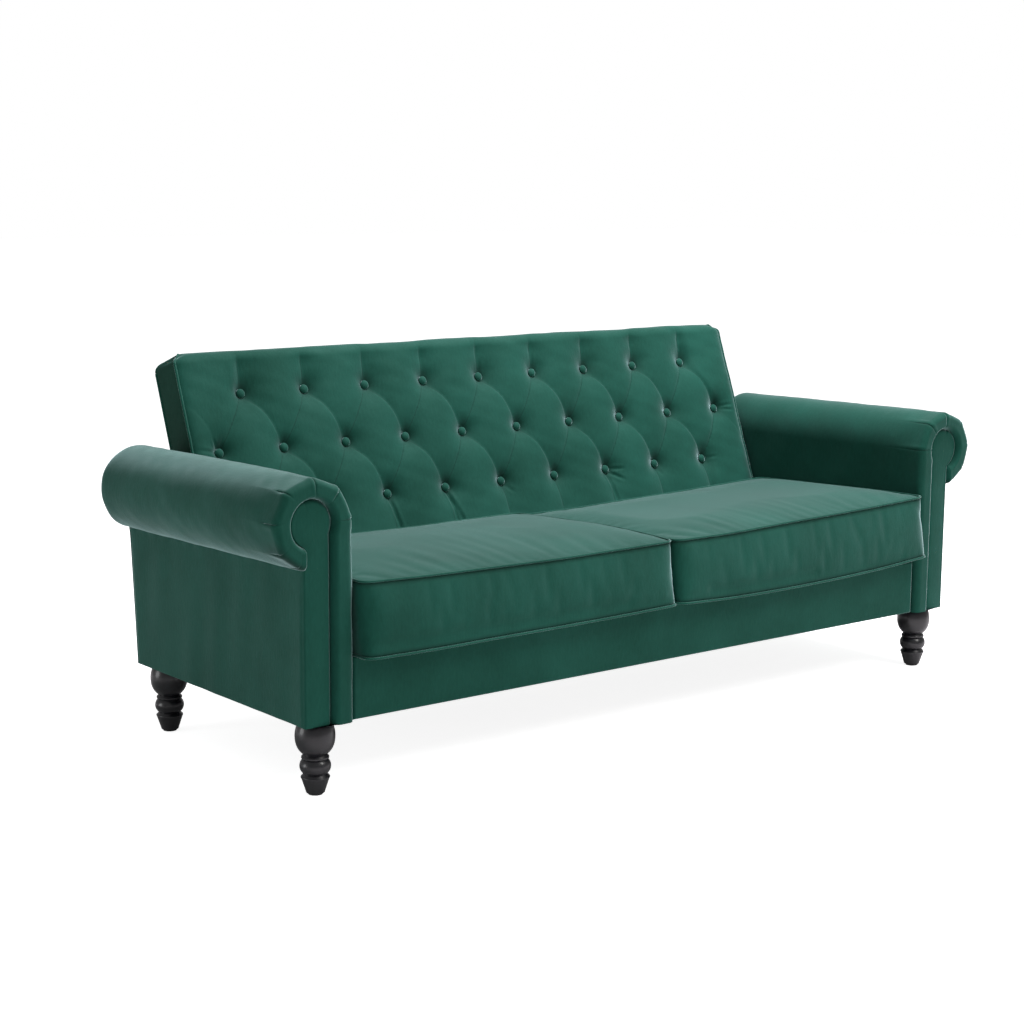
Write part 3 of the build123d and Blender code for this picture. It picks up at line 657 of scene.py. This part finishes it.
def backProfile():
    # depth and height, outward direction and running length, from the underside round to the rear:
    # straight lines joined by arcs
    b = back

    def arc(y, z, radius, start, end, count):
        turn = np.radians(np.linspace(start, end, count))
        return pointsAt(y + radius * np.cos(turn), z + radius * np.sin(turn))

    rise = np.arange(b["bottom"] + b["footRound"], b["top"] - b["topRound"], b["cell"])
    over = np.linspace(b["front"] + b["topRound"], b["rear"] - b["rearRound"], 14)[1:-1]
    line = np.concatenate([
        pointsAt(np.linspace(b["rear"] - 0.003, b["front"] + b["footRound"], 9)[:-1], b["bottom"]),
        arc(b["front"] + b["footRound"], b["bottom"] + b["footRound"], b["footRound"], -90, -180, 7)[:-1],
        pointsAt(b["front"], rise),
        arc(b["front"] + b["topRound"], b["top"] - b["topRound"], b["topRound"], 180, 90, 16),
        pointsAt(over, b["top"]),
        arc(b["rear"] - b["rearRound"], b["top"] - b["rearRound"], b["rearRound"], 90, 0, 9),
        pointsAt(b["rear"], b["top"] - b["rearRound"] - np.array([0.005, 0.010, 0.014, 0.015])),
    ])
    line[-1, 0] -= 0.003  # tucked in behind the rear panel
    slope = np.gradient(line, axis=0)
    outward = pointsAt(-slope[:, 1], slope[:, 0])
    outward /= np.linalg.norm(outward, axis=1)[:, None]
    length = lengthAlong(line)
    return line, outward, length + (line[20, 1] - length[20])  # equal to the height all up the front


def backHalfWidth(height):
    # the back's half width, less a quarter circle at its top corners
    over = np.clip(height - (back["top"] - back["corner"]), 0, back["corner"])
    return back["halfWidth"] - (back["corner"] - np.sqrt(back["corner"] ** 2 - over**2))


def buttonPlaces():
    # across and height of the buttons: rows of 9, 10 and 9 from the top, the middle one half a space aside
    places = []
    for last, row in ((8, 0), (9, -1), (8, -2)):
        places.append(pointsAt(np.arange(-last, last + 1, 2) * back["pitch"], back["firstRow"] + row * back["rows"]))
    return np.concatenate(places)


def tuck(x, z, ax, az, bx, bz, depth, width):
    # a fold from one point to another, deepest a little after its start, with a soft lip along both sides
    dx, dz = bx - ax, bz - az
    size = np.hypot(dx, dz)
    along = ((x - ax) * dx + (z - az) * dz) / size
    off = np.abs(((x - ax) * dz - (z - az) * dx) / size)
    t = along / size
    body = smooth(t / 0.12) * smooth((1.0 - t) / 0.5)
    return depth * body * (np.exp(-off / width) - 0.35 * bell(off - 2.2 * width, 1.2 * width))


def extraTucks(x, z):
    # single folds outside the regular tufting, in millimetres: start, end, depth and width
    places = [
        (-346, 100, -330, -30, 4.5, 3.5), (-173, 100, -158, -30, 5.5, 3.5), (-173, 95, -140, -30, 4, 4),
        (346, 100, 405, 94, 3.5, 3), (346, 97, 398, 60, 4.5, 3.5), (346, 94, 362, -30, 3, 3.5),
        (779, 238, 850, 240, 3.2, 2.8), (779, 234, 850, 220, 2.8, 2.8), (-779, 235.5, -850, 243, 3, 3),
        (-779, 235.5, -800, 275, 3, 2.8), (-779, 235.5, -765, 275, 2.6, 2.8), (692, 100, 742, 100, 3, 2.8),
        (519, 100, 535, 60, 2.6, 3), (0, 100, 30, 60, 3, 3.5), (-519, 100, -500, -30, 4, 3.5),
        (173, 371, 181, 425, 2.2, 2.8), (0, 371, 10, 420, 2.4, 2.8), (692, 371, 700, 425, 2.2, 2.8),
    ]
    return sum(tuck(x, z, *(np.array(place) / 1000)) for place in places)


def backPad(seed):
    # rows follow the profile, columns run across; each point is sunk by the valleys, the dimples and the single tucks
    line, outward, length = backProfile()
    half = backHalfWidth(line[:, 1])
    t = np.linspace(-1, 1, int(2 * back["halfWidth"] / back["cell"]))
    t = np.sign(t) * (1 - (1 - np.abs(t)) ** 1.06)
    x = half[:, None] * t[None, :]
    s = np.broadcast_to(length[:, None], x.shape)

    # the tufting's own coordinates: p and q are whole numbers along its two sets of diagonal lines
    a = x / back["pitch"]
    b = np.clip((s - back["firstRow"]) / back["rows"], -2, 0)
    q = (a - b) / 2
    p = (a + b) / 2 - back["bow"] * np.sin(np.pi * q) ** 2 * smooth(-b * 4) * smooth((b + 2) * 4)
    phase = (p - np.floor(p)) ** back["skew"]  # a pillow rises slowly from its left line and drops quickly at its right
    pillow = (np.clip(np.sin(np.pi * phase), 0, 1) * np.abs(np.sin(np.pi * q))) ** 0.36
    hull = smooth(1 - (np.abs(a) - (9 - np.abs(b + 1))) / 0.35)  # 1 inside the outline of the buttons
    fadeTop, fadeFoot = 1 - smooth((s - 0.425) / 0.055), smooth((s + 0.03) / 0.05)
    aboveRows = smooth((s - back["firstRow"] + 0.01) / 0.03)
    belowRows = smooth((back["firstRow"] - 2 * back["rows"] + 0.01 - s) / 0.03)
    pleats = 1 + back["pleats"] * (aboveRows + 0.6 * belowRows)
    valley = back["valley"] * (1 - pillow) * (0.25 + 0.75 * hull) * fadeTop * fadeFoot * pleats

    places = buttonPlaces()
    right, up = x[..., None] - places[:, 0], s[..., None] - places[:, 1]
    away = np.sqrt(right**2 + up**2).min(-1)
    near = np.exp(-np.clip(away - back["dimpleFlat"], 0, None) / back["dimpleReach"])
    depth = valley * (1 - near) + back["valley"] * near + back["dimple"] * near
    depth = depth + 0.0075 * (bell(away, 0.040) - near) + extraTucks(x, s) * (1 - near)
    side = np.exp(-(half[:, None] - np.abs(x)) / 0.013)  # drawn back to the piping at both ends
    onFront = smooth(-outward[:, 0] / 0.6)[:, None]
    depth = depth * (1 - side) + (back["edge"] - back["front"]) * side * np.maximum(onFront, 0.15)
    depth = depth - (0.0010 * ripple(x, s, 0.20, seed) + 0.0005 * ripple(x, s, 0.05, seed + 1)) * (1 - near)
    points = pointsAt(x, line[:, None, 0] - outward[:, None, 0] * depth, line[:, None, 1] - outward[:, None, 1] * depth)
    piece = patches("backPad", [shell(reclined(points), backCentre)], tuftedVelvet, merge=0)

    loops = np.zeros(len(piece.data.loops), np.int32)
    piece.data.loops.foreach_get("vertex_index", loops)
    lattice = np.stack([p, q], -1).reshape(-1, 2)[loops]
    piece.data.uv_layers.new(name="tuftLines").data.foreach_set("uv", lattice.astype(np.float32).ravel())
    # how strongly the painted shade of the crease lines shows: inside the buttoned area, away from the buttons
    mark(piece.data, "foldStrength", hull * fadeTop * fadeFoot * (1 - near))
    wedge = (bell(right - 0.004, 0.013) * bell(up - 0.010, 0.019)).max(-1)  # shade above each button
    # painted shade: the wedge above each button and the dimple round it, kept as the crease number
    mark(piece.data, "crease", np.maximum(0.8 * wedge, near**1.5))
    return piece, points


def backSide(side, padPoints, seed):
    # a ribbon across the end, between the front and the rear part of the pad's edge line, and the piping's path:
    # up the front, over the top and down the rear to above the hinge
    edge = padPoints[9:-1, -1 if side > 0 else 0] * np.array([side, 1, 1])
    crest = int(np.argmax(edge[:, 2] > edge[:, 2].max() - 0.0003))
    front, behind = edge[: crest + 1], edge[np.argmax(edge[:, 1] > back["rear"] - back["rearRound"]):][::-1]
    heights = front[:, 2]
    rear = np.column_stack([np.interp(heights, behind[:, 2], behind[:, axis]) for axis in (0, 1)] + [heights])
    share = np.array([0, 0.02, 0.05, 0.1, 0.2, 0.35, 0.5, 0.65, 0.8, 0.9, 0.95, 0.98, 1.0])
    points = between(front, rear, share)
    away = np.sin(np.pi * share).clip(0)
    bulge = 0.0022 * away**0.6 + 0.0008 * ripple(points[..., 1], points[..., 2], 0.12, seed) * away
    points[..., 0] += bulge * smooth((heights - back["hingeTop"]) / 0.05)[:, None]  # flat beside the hinge
    down = rear[(heights < edge[-1, 2] - 0.003) & (heights > back["hingeTop"])][::-1]
    seam = np.concatenate([edge, down])
    seam[:crest, 1] -= 0.0008
    seam[crest : len(edge), 2] -= 0.0022  # half sunk along the top
    return reclined(points), reclined(seam)


def backRear(seed):
    # a flat panel whose edges ease over as 1 less e to a falling power
    u = closeSteps(90, (0, 0.02, 8), (0.98, 1, 8))[:, None]
    v = closeSteps(40, (0, 0.04, 8), (0.96, 1, 8))[None, :]
    half, top = back["halfWidth"] - 0.003, back["top"] - back["rearRound"] - 0.012
    x, z = (2 * u - 1) * half, back["bottom"] + v * (top - back["bottom"])
    rim = fromRim(u, v, 2 * half, 0.47)
    y = back["rear"] - 0.004 + 0.0045 * (1 - np.exp(-rim / 0.004))
    y = y + 0.0006 * ripple(x, z, 0.3, seed) * smooth(rim / 0.05)
    return patches("backRearPanel", [shell(reclined(pointsAt(x, y, z)), backCentre)], velvet)


def tuftedMaterial(group):
    # the velvet with painted shade round the buttons and a thin dark line of painted shade in the creases, where a
    # tufting coordinate is a whole number: 1 less the sine of the coordinate over the line's width
    material, tree, shade = foldedCopy(velvet, "tuftedVelvet", group)
    lattice = addNode(tree, "UVMap", uv_map="tuftLines")
    split = addNode(tree, "SeparateXYZ", {0: lattice.outputs["UV"]})

    def line(coord):
        wave = worked(tree, "ABSOLUTE", worked(tree, "SINE", worked(tree, "MULTIPLY", coord, np.pi)))
        share = worked(tree, "MINIMUM", worked(tree, "DIVIDE", wave, back["lineWidth"]), 1.0)
        return worked(tree, "SUBTRACT", 1.0, share)

    lines = worked(tree, "MAXIMUM", line(split.outputs["X"]), line(split.outputs["Y"]))
    # painted shade: dark lines along the pleat creases, and shade round the buttons from the crease numbers
    drawn = worked(tree, "MULTIPLY", worked(tree, "MULTIPLY", lines, attribute(tree, "foldStrength")), back["lineDark"])
    pocketShade = worked(tree, "MULTIPLY", attribute(tree, "crease"), back["pocketDark"])
    feed(tree, shade, {"Mask": worked(tree, "ADD", drawn, pocketShade)})
    return material


tuftedVelvet = tuftedMaterial(shadeMixGroup)
pad, padPoints = backPad(5)
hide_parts("back_pad")
ends, cords = [], []
for name, side in (("left", -1), ("right", 1)):
    placed, seam = backSide(side, padPoints, 61 + side)
    # the back's side borders take the darker velvet as painted shade
    ribbon = patches(f"back{name.title()}Side", [shell(placed, backCentre, side)], shadedVelvet)
    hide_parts(f"back_{name}_border")
    ends.append(ribbon)
    cords.append((tubeAlong(seam * np.array([side, 1, 1]), back["piping"], closed=False), dict(wrapV=True)))
piping = patches("backPiping", cords, welting, recalc=True)
rearPanel = backRear(77)
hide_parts("back_rear_panel")
settle("back", pad, *ends, piping, rearPanel)
print("back made")


cushion = dict(
    cell=0.0135, corner=0.024, crown=0.006, cap=0.016, pressure=4.0, frames=20, growth=-0.004,
    welt=0.0031, clearance=0.0005, gather=0.0011, filling=0.0015,
)
deckZ = nodeBox("left_seat_cushion")[0][2]
noseY, tailY = nodeBox("left_seat_cushion")[0][1], nodeBox("left_seat_cushion")[1][1]
rakeY = frontY - 0.030  # front edge of the top panel
tailHeight = 0.432  # where the cushions' rear touches the back
backSlope = np.tan(np.radians(back["recline"]))

# heights of the cushions' edges: the front's upper and lower one from left to right, and the sides' front to rear
cushionEdges = dict(
    left=dict(
        top=(0.444, 0.4395, 0.437, 0.435, 0.436, 0.437), low=(0.2885, 0.287, 0.288, 0.2885, 0.290, 0.293),
        sides=(0.438, 0.441, 0.441, 0.436, 0.431, 0.424)),
    right=dict(
        top=(0.437, 0.437, 0.442, 0.446, 0.4515, 0.4575), low=(0.293, 0.2875, 0.287, 0.290, 0.297, 0.308),
        sides=(0.4565, 0.4545, 0.450, 0.445, 0.441, 0.436)),
)


def even(values, t):
    # a cubic curve through evenly spaced values, its slope at each set by the two beside it
    t = np.clip(t, 0, 1) * (len(values) - 1)
    index = np.clip(np.floor(t).astype(int), 0, len(values) - 2)
    values = np.asarray(values)
    before, after = values[np.clip(index - 1, 0, None)], values[np.clip(index + 2, None, len(values) - 1)]
    near, far, f = values[index], values[index + 1], t - index
    cubic = 2 * before - 5 * near + 4 * far - after + f * (3 * (near - far) + after - before)
    return near + 0.5 * f * (far - before + f * cubic)


def roundCorners(x, y, halfX, halfY, radius):
    # pulls the corners of a rectangle of points in to quarter circles
    dx, dy = np.abs(x) - (halfX - radius), np.abs(y) - (halfY - radius)
    both = (dx > 0) & (dy > 0)
    scale = np.where(both, np.maximum(dx, dy) / np.maximum(np.hypot(dx, dy), 1e-9), 1)
    roundX, roundY = np.sign(x) * (halfX - radius + dx * scale), np.sign(y) * (halfY - radius + dy * scale)
    return np.where(both, roundX, x), np.where(both, roundY, y)


def cushionShape(name):
    # top and bottom panels as grids with edge heights from the table, and the band as rows between their rims
    low, high = nodeBox(f"{name}_seat_cushion")
    x0, x1 = low[0] + 0.001, high[0] - 0.001
    nx, ny = round((x1 - x0) / cushion["cell"]), round((tailY - noseY) / cushion["cell"])
    u, v = np.linspace(0, 1, nx + 1)[:, None], np.linspace(0, 1, ny + 1)[None, :]
    edges, foot = cushionEdges[name], deckZ + 0.0008
    topZ = even(edges["top"], u) + even(edges["sides"], v) - edges["sides"][0]
    lowZ = foot + (even(edges["low"], u) - foot) * (1 - smooth(v / 0.35))

    def panel(front, rear, z):
        halfX, halfY = (x1 - x0) / 2, (rear - front) / 2
        x, y = roundCorners((2 * u - 1) * halfX, (2 * v - 1) * halfY, halfX, halfY, cushion["corner"])
        return pointsAt(x + (x0 + x1) / 2, y + (front + rear) / 2, z)

    def rim(grid):
        return np.concatenate([grid[:-1, 0], grid[-1, :-1], grid[:0:-1, -1], grid[0, :0:-1]])

    top = panel(rakeY, tailY - 0.002, topZ)
    under = panel(noseY + 0.0035, tailY - (tailHeight - deckZ) * backSlope - 0.002, lowZ)
    return top, under, between(rim(under), rim(top), np.linspace(0, 1, 12)), rim(top), rim(under)


def domed(grid, height, power=0.45):
    # raises the middle of a panel above its edges: a power of the product of two sines
    n, m = grid.shape[:2]
    u, v = np.linspace(0, 1, n)[:, None], np.linspace(0, 1, m)[None, :]
    return grid + pointsAt(0, 0, height * (np.sin(np.pi * u) * np.sin(np.pi * v)).clip(0) ** power)


def pointsOf(mesh):
    # all of a mesh's points in one array
    spots = np.zeros(len(mesh.vertices) * 3, np.float32)
    mesh.vertices.foreach_get("co", spots)
    return spots.reshape(-1, 3).astype(float)


def simulateCushion(piece, held):
    # a short cloth simulation under pressure with the seams held, then the movement is capped
    start = pointsOf(piece.data)
    piece.vertex_groups.new(name="seams").add(np.flatnonzero(held).tolist(), 1.0, "REPLACE")
    cloth = piece.modifiers.new("cloth", "CLOTH")
    fabric = dict(
        vertex_group_mass="seams", quality=6, mass=0.25, tension_stiffness=18, compression_stiffness=18,
        shear_stiffness=6, bending_stiffness=1.6, use_pressure=True, uniform_pressure_force=cushion["pressure"],
        shrink_min=cushion["growth"],
    )
    for key, value in fabric.items():
        setattr(cloth.settings, key, value)
    cloth.settings.effector_weights.gravity = 0
    scene = bpy.context.scene
    cloth.point_cache.frame_start, cloth.point_cache.frame_end = 1, cushion["frames"]
    for frameNumber in range(1, cushion["frames"] + 1):
        scene.frame_set(frameNumber)
    moved = pointsOf(piece.evaluated_get(bpy.context.evaluated_depsgraph_get()).data) - start
    scene.frame_set(1)
    piece.modifiers.remove(cloth)
    piece.vertex_groups.clear()
    size = np.linalg.norm(moved, axis=1, keepdims=True)
    return start + moved * np.minimum(1, cushion["cap"] / np.maximum(size, 1e-9))


def refined(piece, levels):
    # each level halves the faces and rounds them off
    modifier = piece.modifiers.new("finer", "SUBSURF")
    modifier.levels = modifier.render_levels = levels


def weltPath(rimPoints, lift, low, high):
    # a rim's line, a little up and out from the cushion, kept within its width
    path = rimPoints.copy()
    outward = path[:, :2] - np.clip(path[:, :2], low[:2] + 0.03, high[:2] - 0.03)
    outward /= np.maximum(np.linalg.norm(outward, axis=1, keepdims=True), 1e-9)
    path[:, :2] += outward * 0.0002
    path[:, 2] += lift
    room = cushion["welt"] * 0.9
    path[:, 0] = np.clip(path[:, 0], low[0] + room, high[0] - room)
    return path


def makeCushion(name, seed):
    # two panels and a band, blown up by the simulation, kept clear of the neighbours, then gathered at the seams
    top, under, band, topRim, lowRim = cushionShape(name)
    low, high = nodeBox(f"{name}_seat_cushion")
    x, y = top[..., 0].mean(), top[..., 1].mean()
    parts = [shell(domed(top, cushion["crown"]), (x, y, 0)), shell(under, (x, y, 1))]
    piece = patches(f"{name}SeatCushion", [*parts, shell(band, (x, y, 0.36), wrapU=True)], paintedShadeVelvet)
    spots = pointsOf(piece.data)

    def rimGap(points, rimPoints):
        return np.linalg.norm(points[:, None] - rimPoints[None], axis=2).min(1)

    held = (rimGap(spots, topRim) < 1e-4) | (rimGap(spots, lowRim) < 1e-4)
    underneath = (spots[:, 2] < deckZ + 0.03) & ~held
    placed = simulateCushion(piece, held)
    print(f"{name} cushion simulated: moved up to {1000 * np.abs(placed - spots).max():.1f} mm")
    placed[underneath] = spots[underneath]
    placed[:, 0] = np.clip(placed[:, 0], low[0] + cushion["clearance"], high[0] - cushion["clearance"])
    placed[:, 2] = np.clip(placed[:, 2], deckZ + 0.0003, None)
    limit = tailY + 0.001 + (np.minimum(placed[:, 2], 0.445) - tailHeight) * backSlope
    placed[:, 1] = np.minimum(placed[:, 1], limit)

    # small gathers beside the seams, and a faint unevenness of the filling, on the top only
    gap = np.minimum(rimGap(placed, topRim), rimGap(placed, lowRim))
    x, y = placed[:, 0], placed[:, 1]
    gather = cushion["gather"] * ripple(x, y * 1.3, 0.030, seed) * np.exp(-gap / 0.02) * smooth(gap / 0.008)
    filling = cushion["filling"] * ripple(x, y, 0.24, seed + 1) * smooth(gap / 0.1)
    placed[:, 2] += (gather + filling) * (placed[:, 2] > 0.40)
    # painted shade in a narrow band beside the seams, kept as the crease number
    mark(piece.data, "crease", 0.6 * bell(gap, 0.006))
    piece.data.vertices.foreach_set("co", placed.astype(np.float32).ravel())
    piece.data.update()
    refined(piece, 2)
    cords = [
        (tubeAlong(weltPath(rimPoints, lift, low, high), cushion["welt"]), dict(wrapU=True, wrapV=True))
        for rimPoints, lift in ((topRim, 0.0006), (lowRim, 0.0012))]
    welt = patches(f"{name}SeatWelt", cords, welting, recalc=True)
    refined(welt, 1)
    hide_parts(f"{name}_seat_cushion")
    settle("base", piece, welt)


for name, seed in (("left", 101), ("right", 111)):
    makeCushion(name, seed)
print("cushions made")


seatBox = dict(easing=0.005, bend=0.006, frontWave=0.0006, rearWave=0.0008, sag=0.0006, sheetWave=0.0012)


def coveredApron(seed):
    # a covered board facing the front: flat, its edges eased over in quarter circles, with a faint unevenness
    low, high = nodeBox("front_apron")
    u = closeSteps(120, (0, 0.012, 8), (0.988, 1, 8))[:, None]
    v = closeSteps(24, (0, 0.1, 8), (0.9, 1, 8))[None, :]
    wide, tall = high[0] - low[0], high[2] - low[2]
    x, z = low[0] + u * wide, low[2] + v * tall
    rim = fromRim(u, v, wide, tall)
    ease = seatBox["easing"] * (1 - np.sqrt(1 - np.clip(1 - rim / seatBox["easing"], 0, 1) ** 2))
    y = low[1] - (seatBox["frontWave"] * ripple(x, z, 0.16, seed) * smooth(rim / 0.02) - ease)
    inside = (low + high) / 2 + np.array([0, 0.1, 0])
    return patches("frontApron", [shell(pointsAt(x, y, z), inside)], velvet)


def wrappedApron(seed):
    # one profile carried along X: up the rear of the seat box, over its top rail and a little way down inside
    low, high = nodeBox("rear_apron")
    railY, top, bend = nodeBox("rear_rail")[0][1], high[2] + 0.001, seatBox["bend"]
    turn = np.radians(np.linspace(0, 90, 8))[1:]
    line = np.concatenate([
        pointsAt(high[1], np.linspace(low[2], top - bend, 26)),
        pointsAt(high[1] - bend + bend * np.cos(turn), top - bend + bend * np.sin(turn)),
        pointsAt(np.linspace(high[1] - bend, railY + 0.002, 8)[1:], top),
        pointsAt(railY - 0.001, high[2] - np.array([0.001, 0.004, 0.01, 0.02, 0.03])),
    ])
    x = (low[0] + np.linspace(0, 1, 130) * (high[0] - low[0]))[:, None]
    y, z = line[None, :, 0], line[None, :, 1]
    wave = seatBox["rearWave"] * ripple(x, z, 0.2, seed) * smooth((z - low[2]) / 0.02)
    points = pointsAt(x, y + np.where(y > high[1] - 0.001, wave, 0), z)
    return patches("rearApron", [shell(points, ((low[0] + high[0]) / 2, railY, 0.2))], velvet)


frontApron = coveredApron(3)
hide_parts("front_apron")
rearApron = wrappedApron(4)
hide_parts("rear_apron")
settle("base", frontApron, rearApron)


def dustCover(seed):
    # a flat sheet that waves a little away from its held edges
    low, high = nodeBox("dust_cover")
    u, v = np.linspace(0, 1, 120)[:, None], np.linspace(0, 1, 50)[None, :]
    wide, deep = float(high[0] - low[0]), float(high[1] - low[1])
    x, y = low[0] + u * wide, low[1] + v * deep
    wave = seatBox["sheetWave"] * ripple(x, y, 0.25, seed) + seatBox["sag"]
    z = low[2] + 0.0010 + wave * smooth(fromRim(u, v, wide, deep) / 0.08)
    piece = patches("dustCover", [shell(pointsAt(x, y, z), (0, 0, 0.4))], finishes["dust_cover"])
    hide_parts("dust_cover")
    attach(piece, "base")


dustCover(9)
print("seat box panels made")


for item in frame["nodes"].values():
    for place in item.material_slots:
        place.material = finishes[place.material.name.split(".")[0]]
print("finishes set")
